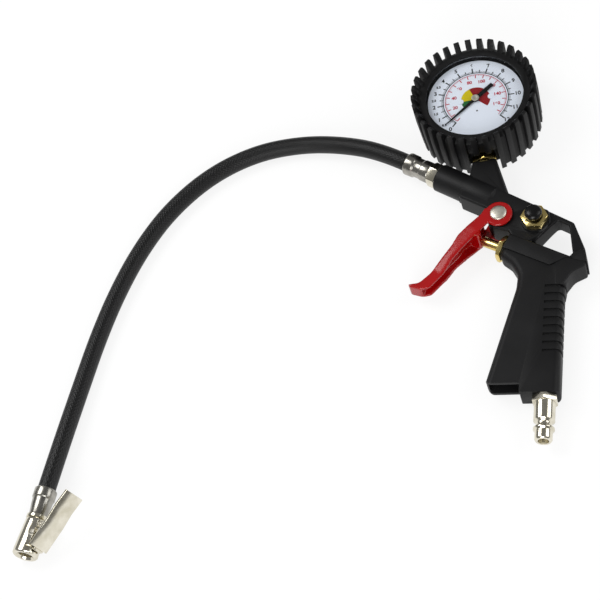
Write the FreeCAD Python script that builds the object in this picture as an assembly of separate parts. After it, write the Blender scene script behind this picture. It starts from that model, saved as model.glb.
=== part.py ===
"""Portable tyre inflator: pistol grip, dial gauge in a rubber boot, hose and clip-on chuck.

Millimetres.  The gun lies on its side: +Z is the normal of its flat side, +Y runs up the grip
towards the gauge, +X points to the rear of the grip.  The pieces are drawn about the gauge's axis
with the surface it lies on at z = 0, and are moved at the end so that the origin is the bottom
centre of the gun without its hose and chuck.
"""
import FreeCAD, Part
import math
import os

Vec = FreeCAD.Vector
UP = Vec(0, 0, 1)

# ---- driving dimensions -------------------------------------------------------------------------
MID = 10.0                  # height of the gun's middle plane above the surface it lies on
GAP = 0.15                  # clearance between pieces that are only assembled
TOUCH = 0.02                # clearance of a press or screwed seat
RUN = 0.05                  # radial running clearance of a pin or shaft
SIDE_GAP = 0.3              # clearance beside a moving piece

# casting
SLAB = 14.5                 # thickness of the flat part of the casting
FRAME = 10.5                # thickness of the bar and strut round the rear opening
FRAME_EDGE = 1.0            # rounding of its edges
SLAB_EDGE = 1.5             # rounding of its edges
BARREL_ANGLE = 150.5        # direction in which the hose leaves
BARREL_FRONT = Vec(-21.1, -45.2, MID)
BARREL_R = 8.3
BARREL_LENGTH = 19.0
SLEEVE_R = 8.9              # thicker stretch behind the barrel
SLEEVE_LENGTH = 19.0
NECK_ANGLE = 278.5          # direction from the gauge's centre to the gun
NECK_TOP = 38.2             # from the gauge's centre to the end of the neck
NECK_WIDTH = 14.2
VALVE_ANGLE = 154.0         # direction in which the valve's pin points
VALVE_FRONT = Vec(20.5, -97.9, MID)
VALVE_LENGTH = 40.0
VALVE_ABOVE = 7.5           # block above the valve's axis
VALVE_BELOW = 2.6           # and below it, down to the grip
VALVE_R = 6.4               # round lower half, inside the grip
VALVE_SLAB = 15.0

# pivot and bleed valve
PIVOT = Vec(16.7, -78.6, 0)
PIVOT_LUG_R = 7.2
BLEED = Vec(38.0, -84.0, 0)
BLEED_BASE_R = 8.0
BLEED_BASE_HEIGHT = 2.2
BLEED_NUT_AF = 14.0
BLEED_NUT_HEIGHT = 4.0
BUTTON_R = 5.1
BUTTON_HEIGHT = 5.4
BUTTON_TRAVEL = 1.4
BLEED_BORE_R = 4.6
BLEED_DEPTH = 12.0

# grip
GRIP = 14.0                 # thickness of the grip
GRIP_EDGE = 4.2             # rounding of its edges
GRIP_WALL = 2.2
GRIP_BOTTOM = -195.2
SHELL_BOTTOM = -189.3       # the hollow front stops short of the column
COLUMN_X = 47.0             # air column, straight down the grip
COLUMN_FRONT = 33.2
GROOVE_COUNT = 9
GROOVE_TOP = -126.5
GROOVE_PITCH = 5.25
GROOVE_WIDTH = 1.7
GROOVE_DEPTH = 0.9
GROOVE_FRONT = 45.0

# air tube and inlet
TUBE_R = 4.0
TUBE_BORE_R = 2.75
TUBE_TOP = -117.5
TUBE_BOTTOM = -184.0
SPIGOT_R = 5.4
SPIGOT_BOTTOM = -127.0
BUSH_R = 5.5
BUSH_TOP = -177.0
BUSH_RECESS = 0.6
THREAD_R = 4.86             # G 1/8
NIPPLE_HEX_AF = 13.5
NIPPLE_HEX = 4.0
NIPPLE_LENGTH = 27.3        # from the grip's end to the tip
NIPPLE_THREAD = 8.0
NIPPLE_BODY_R = 6.0         # DN 7.2 plug
NIPPLE_GROOVE_R = 4.4
NIPPLE_TIP_R = 5.0
NIPPLE_BORE_R = 3.1

# trigger valve, measured inwards from the barrel's front face
VALVE_BORE_R = 5.1
CHAMBER_R = 4.5
CHAMBER_DEPTH = 36.0
SEAT_AT = 12.0
SEAT_LENGTH = 3.0
SEAT_BORE_R = 2.3
COLLAR_AF = 14.0
COLLAR_FLANGE = 3.0
COLLAR_SEAL_AT = 1.2
COLLAR_THREAD = 5.0
COLLAR_NOSE_R = 4.3
COLLAR_NOSE_BORE_R = 3.6
PIN_R = 3.0
PIN_OUT = 15.8              # how far the pin stands out of the barrel
PIN_SHOULDER = 4.6
PIN_STEM_R = 1.5
PIN_TRAVEL = 4.0
RING_WIRE_R = 0.85          # section of the small O-rings
POPPET_R = 3.4
POPPET_LENGTH = 3.4
WASHER_R = 3.1
WASHER_LENGTH = 1.2

# trigger lever
EAR = 2.0                   # sheet of the lever's ears
WEB = 2.0
LEVER_BOSS_R = 8.2
LEVER_TIP_HALF = 4.9        # half width at the finger end
LEVER_PIN_R = 2.4
LEVER_HEAD_R = 4.8
LEVER_HEAD = 1.6
LEVER_ANGLE = 14.5          # travel

# gauge
CASE_R = 31.0
CASE_WALL = 0.8
CASE_BACK = 2.0
CASE_FRONT = 26.2
BEZEL_TOP = 28.3
BEZEL_LIP_R = 29.4
WINDOW_R = 30.2
WINDOW_Z = 26.5
WINDOW_THICK = 1.3
DIAL_R = 28.8
DIAL_Z = 24.0
DIAL_THICK = 0.5
POINTER_Z = 25.1
POINTER_THICK = 0.4
POINTER_TIP = 25.0
POINTER_TAIL = 14.0
POINTER_ZERO = 226.9        # where the pointer lies at no pressure
BOOT_R = 35.4
BOOT_LIP_R = 29.2
BOOT_FRONT = 29.5
BOOT_FLOOR_R = 24.0
RIB_COUNT = 33
RIB_WIDTH = 3.3
RIB_TIP_R = 37.5
RIB_FRONT = 35.4
STEM_HEX_AF = 14.0
STEM_HEX_FROM = 33.0
STEM_THREAD_R = 4.86
STEM_THREAD = 9.0
SOCKET_HALF = 6.0
SOCKET_FROM = 14.0
BOURDON_R = 20.0
BOURDON_HEIGHT = 8.0
BOURDON_THICK = 2.4
BOURDON_WALL = 0.4
BOURDON_SWEEP = 248.0
PLATE_THICK = 1.0
PLATE_BACK_Z = 16.3
PLATE_FRONT_Z = 21.6
GEAR_Z = 18.6
GEAR_THICK = 1.0
GEAR_MODULE = 0.4
PINION_TEETH = 10
SECTOR_TEETH = 55           # of a full circle
SECTOR_ANGLE = 100.0        # where the sector's pivot lies, seen from the gauge's centre
ARBOR_R = 0.8

# hose and chuck
NUT_AF = 13.0
NUT_LENGTH = 6.0
FERRULE_R = 6.9
FERRULE_LENGTH = 17.0
HOSE_R = 5.3
TAIL_R = 2.6
TAIL_BORE_R = 1.6
CHUCK_Z = 7.6
CHUCK_ANGLE = 261.5         # direction in which the chuck's mouth points
CHUCK_MOUTH_R = 7.4
CHUCK_LENGTH = 41.5         # from the hose's end to the mouth
CHUCK_BODY_FROM = 19.0
CHUCK_BORE_R = 4.1          # takes a 7.7 mm tyre valve
CHUCK_BORE_FROM = 31.0
CHUCK_SEAL = 3.4            # thickness of the seal at the bore's end
CHUCK_SEAL_R = 3.5
CHUCK_PIN_AT = (29.0, 6.4)  # hinge, along the chuck and out from its axis
CHUCK_PIN_R = 1.25
CHUCK_SLOT = 5.0
CHUCK_LEVER_WIDTH = 13.0
CHUCK_LEVER_SHEET = 1.6
CHUCK_LEVER_TILT = 26.0     # the lever stands this far up from the surface
CHUCK_LEVER_ANGLE = 18.0    # travel


# ---- helpers ------------------------------------------------------------------------------------
def heading(angle):
    """Unit vector in the gun's plane."""
    return Vec(math.cos(math.radians(angle)), math.sin(math.radians(angle)), 0)


def outline(points):
    """Closed face at z = 0 through (x, y, corner radius) points."""
    area = sum(p[0] * q[1] - q[0] * p[1] for p, q in zip(points, points[1:] + points[:1]))
    if area < 0:
        points = points[::-1]
    count = len(points)
    starts = []
    ends = []
    middles = []
    for i in range(count):
        here = Vec(points[i][0], points[i][1], 0)
        before = Vec(points[i - 1][0], points[i - 1][1], 0) - here
        after = Vec(points[(i + 1) % count][0], points[(i + 1) % count][1], 0) - here
        before.normalize()
        after.normalize()
        half = before.getAngle(after) / 2
        radius = points[i][2]
        if half > math.radians(88.5):
            radius = 0
        reach = radius / math.tan(half)
        starts.append(here + before * reach)
        ends.append(here + after * reach)
        bisector = before + after
        if bisector.Length > 1e-6:
            bisector.normalize()
        middles.append(here + bisector * (radius / math.sin(half) - radius))
    edges = []
    for i in range(count):
        if starts[i].distanceToPoint(ends[i]) > 1e-4:
            edges.append(Part.Arc(starts[i], middles[i], ends[i]).toShape())
        gap = ends[i].distanceToPoint(starts[(i + 1) % count])
        if gap > 1e-4:
            edges.append(Part.LineSegment(ends[i], starts[(i + 1) % count]).toShape())
    return Part.Face(Part.Wire(edges))


def slab(points, thickness, edge=0.0, middle=MID):
    """Plate of the given outline, centred on the middle plane, with rounded long edges."""
    face = outline(points)
    face.translate(UP * (middle - thickness / 2))
    solid = face.extrude(UP * thickness)
    if edge > 0:
        low = middle - thickness / 2 + 1e-3
        high = middle + thickness / 2 - 1e-3
        rims = [e for e in solid.Edges if e.BoundBox.ZMax < low or e.BoundBox.ZMin > high]
        solid = solid.makeFillet(edge, rims)
    return solid


def put(shape, origin, along, side=None):
    """Moves a shape drawn about local Z so that Z runs along, and X towards side."""
    if side is None:
        side = Vec(0, 0, 1).cross(along)
        if side.Length < 1e-6:
            side = Vec(1, 0, 0)
    third = along.cross(side)
    rotation = FreeCAD.Rotation(side, third, along, "ZXY")
    moved = shape.copy()
    moved.Placement = FreeCAD.Placement(origin, rotation).multiply(moved.Placement)
    return moved


def rod(origin, along, radius, length):
    return Part.makeCylinder(radius, length, origin, along)


def turned(origin, along, profile):
    """Solid of revolution: profile holds (distance along, radius) points, closed on the axis."""
    corners = [Vec(profile[0][0], 0, 0)]
    corners += [Vec(d, r, 0) for d, r in profile]
    corners.append(Vec(profile[-1][0], 0, 0))
    corners.append(corners[0])
    clean = [corners[0]]
    for corner in corners[1:]:
        if corner.distanceToPoint(clean[-1]) > 1e-6:
            clean.append(corner)
    solid = Part.Face(Part.makePolygon(clean)).revolve(Vec(0, 0, 0), Vec(1, 0, 0), 360)
    rotation = FreeCAD.Rotation(along, UP.cross(along), UP, "XZY")
    if abs(along.z) > 0.99:
        rotation = FreeCAD.Rotation(Vec(1, 0, 0), along)
    solid.Placement = FreeCAD.Placement(origin, rotation)
    return solid


def hexagon(origin, along, across_flats, length, side=None):
    """Hexagonal bar with a corner towards side."""
    corner = across_flats / math.sqrt(3)
    points = [Vec(corner * math.cos(math.radians(60 * k)), corner * math.sin(math.radians(60 * k)), 0)
              for k in range(7)]
    bar = Part.Face(Part.makePolygon(points)).extrude(UP * length)
    return put(bar, origin, along, side)


def chamfered_hex(origin, along, across_flats, length, side=None):
    """Hexagonal nut blank whose corners are turned down at both ends."""
    corner = across_flats / math.sqrt(3)
    bevel = corner - across_flats / 2
    blank = hexagon(origin, along, across_flats, length, side)
    drop = bevel * 0.6
    cone = turned(origin, along, [(0, corner - bevel), (drop, corner + 0.02),
                                  (length - drop, corner + 0.02), (length, corner - bevel)])
    return blank.common(cone)


def coil(origin, along, radius, wire, length, turns):
    """Compression spring with ground ends, made as one swept wire."""
    pitch = (length - 2 * wire) / turns
    helix = Part.makeHelix(pitch, length - 2 * wire, radius)
    section = Part.Wire(Part.makeCircle(wire, Vec(radius, 0, 0), Vec(0, 1, 0)))
    solid = Part.Wire(helix.Edges).makePipeShell([section], True, True)
    solid.translate(UP * wire)
    return put(solid, origin, along)


def o_ring(centre, along, inner, wire):
    return Part.makeTorus(inner + wire, wire, centre, along)


# ---- places worked out from the driving dimensions ------------------------------------------------
hose_way = heading(BARREL_ANGLE)
hose_in = hose_way * -1
neck_way = heading(NECK_ANGLE)
pin_way = heading(VALVE_ANGLE)
pin_in = pin_way * -1
valve_up = UP.cross(pin_in)
centre = Vec(0, 0, MID)
down = Vec(0, -1, 0)
slab_top = MID + SLAB / 2


def in_valve(depth):
    """Point on the valve's axis, measured inwards from the barrel's front face."""
    return VALVE_FRONT + pin_in * depth


def valve_plan(depth, height, radius):
    """Outline point given along and across the valve's axis."""
    spot = in_valve(depth) + valve_up * height
    return (spot.x, spot.y, radius)


# ---- casting --------------------------------------------------------------------------------------
def main_plate():
    """Thick flat of the casting, from the hose barrel to behind the bleed valve."""
    return [(-3.5, -49.6, 1.8), (21.0, -62.6, 6.0), (37.0, -71.8, 12.0), (45.4, -76.2, 2.5),
            (47.2, -84.4, 2.5), (39.6, -94.0, 2.0), (32.0, -98.0, 2.0), (25.6, -95.0, 2.0),
            (22.4, -89.4, 2.0), (13.2, -86.6, 2.5), (9.8, -81.0, 2.0), (9.0, -73.2, 2.0), (-8.0, -64.0, 1.8)]


def frame_plate():
    """Thinner bar and strut round the rear opening."""
    return [(34.0, -76.0, 2.0), (45.0, -75.6, 4.0), (60.0, -84.4, 3.0), (66.9, -102.7, 8.0),
            (70.2, -125.0, 2.0), (62.5, -125.0, 2.0), (57.3, -86.4, 2.5), (50.4, -82.4, 2.5),
            (37.5, -96.6, 2.0), (30.0, -92.0, 2.0)]


def below_parting():
    """Region of the grip: everything under the parting line."""
    return slab([valve_plan(-8, -VALVE_BELOW, 0), valve_plan(VALVE_LENGTH - 9, -VALVE_BELOW, 0.3),
                 (56.5, -109.0, 0.3), (74.0, -114.2, 0), (74.0, -140.0, 0), (0.0, -140.0, 0),
                 (0.0, -108.0, 0)], 40)


def neck():
    """Tapered boss that carries the gauge."""
    across = UP.cross(neck_way)
    top = neck_way * NECK_TOP
    left = top - across * (NECK_WIDTH / 2)
    right = top + across * (NECK_WIDTH / 2)
    points = [(left.x, left.y, 0.8), (right.x, right.y, 0.8), (21.4, -62.4, 1.0), (14.0, -66.0, 1.0),
              (-3.0, -52.0, 1.0)]
    return slab(points, NECK_WIDTH, 3.0)


def gun_body():
    plate = slab(main_plate(), SLAB, SLAB_EDGE)
    frame = slab(frame_plate(), FRAME, FRAME_EDGE)
    foot = slab([(54.0, -113.0, 1.6), (60.8, -105.0, 1.6), (67.0, -103.0, 1.6), (70.0, -122.0, 1.6),
                 (54.0, -122.0, 1.6)], SLAB, 1.2)
    barrel = turned(BARREL_FRONT, hose_in, [(0, BARREL_R - 0.6), (0.6, BARREL_R),
                                            (BARREL_LENGTH, BARREL_R), (BARREL_LENGTH, SLEEVE_R),
                                            (BARREL_LENGTH + SLEEVE_LENGTH, SLEEVE_R),
                                            (BARREL_LENGTH + SLEEVE_LENGTH + 5, 3.0)])
    block = slab([valve_plan(0, VALVE_ABOVE, 1.6), valve_plan(0, -VALVE_ABOVE, 1.6),
                  valve_plan(VALVE_LENGTH, -VALVE_ABOVE, 1.6),
                  valve_plan(VALVE_LENGTH + 2, VALVE_ABOVE, 1.6)], VALVE_SLAB, 1.2)
    lug = Part.makeCylinder(PIVOT_LUG_R, SLAB, PIVOT + UP * (MID - SLAB / 2))
    base = Part.makeCylinder(BLEED_BASE_R, BLEED_BASE_HEIGHT, BLEED + UP * slab_top)
    upper = plate.fuse([frame, foot, barrel, neck(), block, lug, base]).cut(below_parting())
    lower = rod(VALVE_FRONT, pin_in, VALVE_R, VALVE_LENGTH - 4)
    spigot_top = in_valve(29.5)
    spigot = rod(Vec(COLUMN_X, spigot_top.y, MID), down, SPIGOT_R, spigot_top.y - SPIGOT_BOTTOM)
    body = upper.fuse([lower, spigot])

    manifold = 57.0
    hose_port = rod(BARREL_FRONT, hose_in, THREAD_R + TOUCH, 12.0)
    main_way = rod(BARREL_FRONT, hose_in, 2.5, manifold + 13.0)
    neck_end = centre + neck_way * NECK_TOP
    gauge_port = rod(neck_end, neck_way, STEM_THREAD_R + TOUCH, STEM_THREAD + 1.0)
    gauge_way = rod(neck_end, neck_way, 1.6, 27.0)
    bleed_bore = Part.makeCylinder(BLEED_BORE_R + TOUCH, BLEED_DEPTH,
                                   BLEED + UP * (slab_top + BLEED_BASE_HEIGHT - BLEED_DEPTH))
    bleed_foot = BLEED + UP * (slab_top + BLEED_BASE_HEIGHT - BLEED_DEPTH + 2.0)
    outlet = in_valve(8.0)
    towards = BLEED + UP * MID - outlet
    outlet_way = rod(outlet, towards, 1.6, towards.Length)
    valve_bore = rod(VALVE_FRONT, pin_in, VALVE_BORE_R, SEAT_AT + SEAT_LENGTH)
    chamber = rod(VALVE_FRONT, pin_in, CHAMBER_R, CHAMBER_DEPTH)
    tube_socket = rod(Vec(COLUMN_X, TUBE_TOP, MID), down, TUBE_R + TOUCH, 20.0)
    tube_way = rod(Vec(COLUMN_X, spigot_top.y, MID), down, TUBE_BORE_R, 12.0)
    pivot_hole = Part.makeCylinder(LEVER_PIN_R + RUN, 40, PIVOT - UP * 5)
    holes = [hose_port, main_way, gauge_port, gauge_way, bleed_bore, outlet_way, valve_bore,
             chamber, tube_socket, tube_way, pivot_hole]
    return body.cut(holes).removeSplitter()


# ---- grip -----------------------------------------------------------------------------------------
def front_x(y):
    """The grip's front edge leans forwards towards the bottom."""
    return 28.6 + (y + 125.0) * 0.236


def grip_blank():
    """Front and back of the grip, run past both ends so that its long edges can be rounded."""
    return [(27.7, -83.1, 5.0), (17.2, -104.6, 4.8), (24.6, -110.6, 7.0), (28.9, -118.0, 9.0),
            (28.4, -127.0, 20.0), (front_x(-205.0), -205.0, 5.0), (55.6, -205.0, 5.0),
            (55.6, -134.0, 12.0), (58.0, -118.0, 12.0), (58.0, -83.1, 5.0)]


def grip_limits():
    """Parting line against the casting at the top, the two ends at the bottom."""
    return [valve_plan(-14, -VALVE_BELOW - GAP, 0), valve_plan(VALVE_LENGTH - 9, -VALVE_BELOW - GAP, 0.4),
            (56.5, -109.0 - GAP, 0.4), (72.0, -113.6 - GAP, 0), (72.0, -140.0, 0), (55.9, -150.0, 0),
            (55.9, GRIP_BOTTOM, 2.5), (COLUMN_FRONT, GRIP_BOTTOM, 1.0),
            (COLUMN_FRONT, SHELL_BOTTOM, 0.3), (front_x(SHELL_BOTTOM) - 0.3, SHELL_BOTTOM, 4.0),
            (front_x(-140.0) - 3.0, -140.0, 0), (4.0, -118.0, 0)]


def grip_pocket():
    """Hollow of the grip's front, open at the bottom."""
    inner = GRIP - 2 * GRIP_WALL
    points = [(front_x(SHELL_BOTTOM - 4) + GRIP_WALL, SHELL_BOTTOM - 4, 0.5),
              (COLUMN_FRONT + 1.0, SHELL_BOTTOM - 4, 0.5), (COLUMN_FRONT + 1.0, -131.0, 1.0),
              (front_x(-131.0) + GRIP_WALL, -131.0, 1.0)]
    hollow = slab(points, inner, 2.5)
    mouth = slab([(front_x(SHELL_BOTTOM - 4) + GRIP_WALL, SHELL_BOTTOM - 4, 0.5),
                  (COLUMN_FRONT, SHELL_BOTTOM - 4, 0.2), (COLUMN_FRONT, SHELL_BOTTOM + 1, 0.2),
                  (front_x(SHELL_BOTTOM + 1) + GRIP_WALL, SHELL_BOTTOM + 1, 0.2)], inner)
    return [hollow.common(slab([(0, SHELL_BOTTOM, 0), (COLUMN_FRONT + 1, SHELL_BOTTOM, 0),
                                (COLUMN_FRONT + 1, -100, 0), (0, -100, 0)], 30)), mouth]


def grip_grooves():
    """Shallow cuts across the back of the grip, wrapping both sides."""
    cuts = []
    half = GRIP / 2 - GROOVE_DEPTH
    for k in range(GROOVE_COUNT):
        y = GROOVE_TOP - k * GROOVE_PITCH
        ring = Part.makeBox(30, GROOVE_WIDTH, 2 * half + 8,
                            Vec(GROOVE_FRONT, y - GROOVE_WIDTH, MID - half - 4))
        core = Part.makeBox(55.6 - GROOVE_DEPTH - GROOVE_FRONT + 5, GROOVE_WIDTH + 2, 2 * half,
                            Vec(GROOVE_FRONT - 5, y - GROOVE_WIDTH - 1, MID - half))
        long_edges = [e for e in core.Edges if e.BoundBox.YLength > GROOVE_WIDTH and
                      e.BoundBox.XMin > GROOVE_FRONT]
        core = core.makeFillet(GRIP_EDGE - GROOVE_DEPTH, long_edges)
        cuts.append(ring.cut(core))
    return cuts


def handle_grip():
    body = slab(grip_blank(), GRIP, GRIP_EDGE).common(slab(grip_limits(), GRIP + 4))
    crest = slab([(50.0, -128.0, 2.0), (55.4, -126.0, 3.0), (60.4, -118.4, 8.0), (67.4, -114.8, 1.6),
                  (69.0, -100.0, 1.6), (50.0, -100.0, 1.6)], SLAB, 1.2)
    body = body.fuse(crest.common(slab(grip_limits(), GRIP + 4)))
    trough = rod(in_valve(-1), pin_in, VALVE_R + GAP, VALVE_LENGTH - 3 + GAP)
    spigot_top = in_valve(29.5)
    spigot_room = rod(Vec(COLUMN_X, spigot_top.y, MID), down, SPIGOT_R + GAP,
                      spigot_top.y - SPIGOT_BOTTOM + 0.5)
    tube_room = rod(Vec(COLUMN_X, -120, MID), down, TUBE_R + GAP, 62.0)
    bush_room = rod(Vec(COLUMN_X, BUSH_TOP, MID), down, BUSH_R + TOUCH, 30.0)
    return body.cut([trough, spigot_room, tube_room, bush_room] + grip_pocket()
                    + grip_grooves()).removeSplitter()


# ---- air tube and inlet ---------------------------------------------------------------------------
def air_tube():
    top = Vec(COLUMN_X, TUBE_TOP, MID)
    length = TUBE_TOP - TUBE_BOTTOM
    return rod(top, down, TUBE_R, length).cut(rod(top, down, TUBE_BORE_R, length))


def inlet_bush():
    top = Vec(COLUMN_X, BUSH_TOP, MID)
    length = BUSH_TOP - GRIP_BOTTOM - BUSH_RECESS
    outer = rod(top, down, BUSH_R, length)
    seat = rod(top, down, TUBE_R + TOUCH, BUSH_TOP - TUBE_BOTTOM)
    return outer.cut([seat, rod(top, down, TUBE_BORE_R, length),
                      rod(Vec(COLUMN_X, GRIP_BOTTOM + NIPPLE_THREAD + 0.5, MID), down,
                          THREAD_R + TOUCH, 20.0)])


def inlet_nipple():
    """Quick-coupling plug: thread, hexagon, body, locking groove, ridge and tip."""
    end = Vec(COLUMN_X, GRIP_BOTTOM, MID)
    stem = turned(end, down, [(-NIPPLE_THREAD, THREAD_R - 0.4), (-NIPPLE_THREAD + 0.6, THREAD_R),
                              (0.1, THREAD_R), (0.1, NIPPLE_BODY_R), (15.2, NIPPLE_BODY_R),
                              (16.6, NIPPLE_GROOVE_R), (18.6, NIPPLE_GROOVE_R), (19.6, NIPPLE_BODY_R),
                              (20.6, NIPPLE_BODY_R), (21.6, NIPPLE_TIP_R),
                              (NIPPLE_LENGTH - 0.8, NIPPLE_TIP_R), (NIPPLE_LENGTH, NIPPLE_TIP_R - 0.6)])
    nut = chamfered_hex(end + down * 0.1, down, NIPPLE_HEX_AF, NIPPLE_HEX, Vec(0, 0, 1))
    bore = rod(end - down * (NIPPLE_THREAD + 1), down, NIPPLE_BORE_R, NIPPLE_LENGTH + NIPPLE_THREAD + 2)
    return stem.fuse(nut).cut(bore).removeSplitter()


# ---- trigger valve --------------------------------------------------------------------------------
def valve_collar():
    flange = chamfered_hex(in_valve(-COLLAR_FLANGE), pin_in, COLLAR_AF, COLLAR_FLANGE, Vec(0, 0, 1))
    thread = rod(in_valve(-0.5), pin_in, VALVE_BORE_R - TOUCH, COLLAR_THREAD + 0.5)
    nose = rod(in_valve(0), pin_in, COLLAR_NOSE_R, SEAT_AT)
    bore = rod(in_valve(-5), pin_in, PIN_R + RUN, 12.0)
    nose_bore = rod(in_valve(COLLAR_THREAD - 0.6), pin_in, COLLAR_NOSE_BORE_R, 12.0)
    groove = rod(in_valve(COLLAR_SEAL_AT - RING_WIRE_R), pin_in, PIN_R + RUN + 2 * RING_WIRE_R,
                 2 * RING_WIRE_R)
    ports = [rod(in_valve(8.0) - UP * 8, UP, 1.0, 16.0),
             rod(in_valve(8.0) - valve_up * 8, valve_up, 1.0, 16.0)]
    return flange.fuse([thread, nose]).cut([bore, nose_bore, groove] + ports).removeSplitter()


def valve_pin():
    """Push pin: domed end outside, thin stem through the seat to the poppet."""
    dome = 1.6
    profile = [(-PIN_OUT, PIN_R * 0.45), (-PIN_OUT + dome * 0.35, PIN_R * 0.8),
               (-PIN_OUT + dome, PIN_R), (PIN_SHOULDER, PIN_R), (PIN_SHOULDER + 1.0, PIN_STEM_R),
               (SEAT_AT + SEAT_LENGTH + POPPET_LENGTH - 0.4, PIN_STEM_R)]
    return turned(VALVE_FRONT, pin_in, profile)


def valve_seat():
    start = in_valve(SEAT_AT)
    ring = rod(start, pin_in, VALVE_BORE_R - TOUCH, SEAT_LENGTH)
    return ring.cut(rod(start, pin_in, SEAT_BORE_R, SEAT_LENGTH))


def poppet_washer():
    start = in_valve(SEAT_AT + SEAT_LENGTH + TOUCH)
    washer = rod(start, pin_in, WASHER_R, WASHER_LENGTH)
    return washer.cut(rod(start, pin_in, PIN_STEM_R + TOUCH, WASHER_LENGTH))


def valve_poppet():
    start = in_valve(SEAT_AT + SEAT_LENGTH + TOUCH + WASHER_LENGTH)
    length = POPPET_LENGTH - WASHER_LENGTH
    disc = rod(start, pin_in, POPPET_R, length)
    peg = rod(start, pin_in, 2.2, length + 1.8)
    return disc.fuse(peg).cut(rod(start, pin_in, PIN_STEM_R + TOUCH, length)).removeSplitter()


def valve_spring():
    seat = SEAT_AT + SEAT_LENGTH + TOUCH + POPPET_LENGTH
    return coil(in_valve(seat), pin_in, 3.1, 0.4, CHAMBER_DEPTH - seat, 7.0)


# ---- trigger lever --------------------------------------------------------------------------------
def lever_back():
    """Outer edge of the lever's side, from the ear down to the finger end."""
    return [(8.4, -74.3, 1.0), (6.4, -78.3, 4.0), (-6.6, -91.3, 8.0), (-9.8, -97.3, 8.0),
            (-15.5, -105.2, 12.0), (-21.8, -114.8, 12.0), (-27.8, -120.8, 6.0)]


def lever_plan():
    """Side view of the lever: outer edge, finger end, then the free edge of its flanges."""
    return lever_back() + [(-34.6, -121.6, 0.5), (-33.2, -123.4, 0.5), (-26.7, -125.4, 5.0),
                           (-21.5, -124.4, 5.0), (-14.7, -117.0, 9.0), (-8.7, -105.8, 12.0),
                           (-2.0, -98.0, 9.0), (9.4, -86.0, 1.0), (16.7, -76.0, 0.5)]


def lever_hollow():
    """Inside of the channel: one sheet in from the back, open towards the grip."""
    back = lever_back()
    inner = []
    for i in range(1, len(back)):
        here = Vec(back[i][0], back[i][1], 0)
        before = (here - Vec(back[i - 1][0], back[i - 1][1], 0)).normalize()
        after = before
        if i + 1 < len(back):
            after = (Vec(back[i + 1][0], back[i + 1][1], 0) - here).normalize()
        inward = (UP.cross(before) + UP.cross(after)).normalize()
        spot = here + inward * (WEB / math.cos(before.getAngle(after) / 2))
        inner.append((spot.x, spot.y, back[i][2]))
    return inner + [(-24.0, -140.0, 0), (4.0, -120.0, 0), (24.0, -84.0, 0), (10.2, -75.0, 0)]


def taper(wide, narrow, reach):
    """Wedge that narrows the lever from the pivot towards the finger end."""
    points = [Vec(0, wide, 0), Vec(16, wide, 0), Vec(50, narrow, 0), Vec(80, narrow, 0),
              Vec(80, -narrow, 0), Vec(50, -narrow, 0), Vec(16, -wide, 0), Vec(-30, -wide, 0),
              Vec(-30, wide, 0), Vec(0, wide, 0)]
    wedge = Part.Face(Part.makePolygon(points)).extrude(UP * 2 * reach)
    wedge.translate(UP * -reach)
    along = heading(230.0)
    across = UP.cross(along)
    rotation = FreeCAD.Rotation(along, UP, across, "XYZ")
    wedge.Placement = FreeCAD.Placement(Vec(PIVOT.x, PIVOT.y, MID), rotation)
    return wedge


def trigger_lever():
    inner = SLAB / 2 + SIDE_GAP
    outer = inner + EAR
    body = slab(lever_plan(), 2 * outer).common(taper(outer, LEVER_TIP_HALF, 60))
    boss = Part.makeCylinder(LEVER_BOSS_R, 2 * outer, PIVOT + UP * (MID - outer))
    body = body.fuse(boss)
    hollow = slab(lever_hollow(), 2 * inner).common(taper(inner, LEVER_TIP_HALF - EAR, 60))
    lug_room = Part.makeCylinder(LEVER_BOSS_R + 2.0, 2 * inner, PIVOT + UP * (MID - inner))
    hole = Part.makeCylinder(LEVER_PIN_R + RUN, 40, PIVOT - UP * 5)
    channel = body.cut([hollow, lug_room, hole])
    pin_end = in_valve(-PIN_OUT)
    rib = Part.makeBox(3.4, 2 * inner, 8.2)
    rib.translate(Vec(-1.7, -inner, 0))
    rib = put(rib, pin_end + pin_way * 0.25, pin_way, valve_up)
    rib = rib.common(taper(inner, LEVER_TIP_HALF - EAR, 60))
    return channel.fuse(rib).removeSplitter()


def lever_pin():
    """Rivet with a domed head on the near ear, closed flush with the far ear."""
    outer = SLAB / 2 + SIDE_GAP + EAR
    low = MID - outer
    high = MID + outer
    profile = [(low, LEVER_PIN_R), (high, LEVER_PIN_R), (high, LEVER_HEAD_R), (high + 0.7, LEVER_HEAD_R),
               (high + LEVER_HEAD * 0.8, LEVER_HEAD_R - 1.0), (high + LEVER_HEAD, LEVER_HEAD_R - 2.4)]
    return turned(PIVOT, UP, profile)


# ---- bleed valve ----------------------------------------------------------------------------------
bleed_top = slab_top + BLEED_BASE_HEIGHT


def bleed_nut():
    """Brass body: hexagon on the casting's base, thread below, bored for the stem."""
    foot = BLEED + UP * bleed_top
    head = chamfered_hex(foot, UP, BLEED_NUT_AF, BLEED_NUT_HEIGHT, Vec(1, 0, 0))
    thread = Part.makeCylinder(BLEED_BORE_R, 7.0, foot - UP * 7.0)
    stem_hole = Part.makeCylinder(1.5 + RUN, 30, foot - UP * 15)
    spring_room = Part.makeCylinder(3.2, BLEED_NUT_HEIGHT + 1.0, foot - UP * 1.0)
    vent = rod(foot - UP * 3.0 - Vec(8, 0, 0), Vec(1, 0, 0), 0.9, 16.0)
    return head.fuse(thread).cut([stem_hole, spring_room, vent]).removeSplitter()


def bleed_stem():
    """Stem with its valve disc under the nut's thread."""
    foot = BLEED + UP * bleed_top
    low = foot - UP * 10.2
    disc = Part.makeCylinder(3.4, 1.2, low)
    shaft = Part.makeCylinder(1.5, 10.2 + BLEED_NUT_HEIGHT + BUTTON_TRAVEL + 2.5, low)
    return disc.fuse(shaft).removeSplitter()


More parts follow.
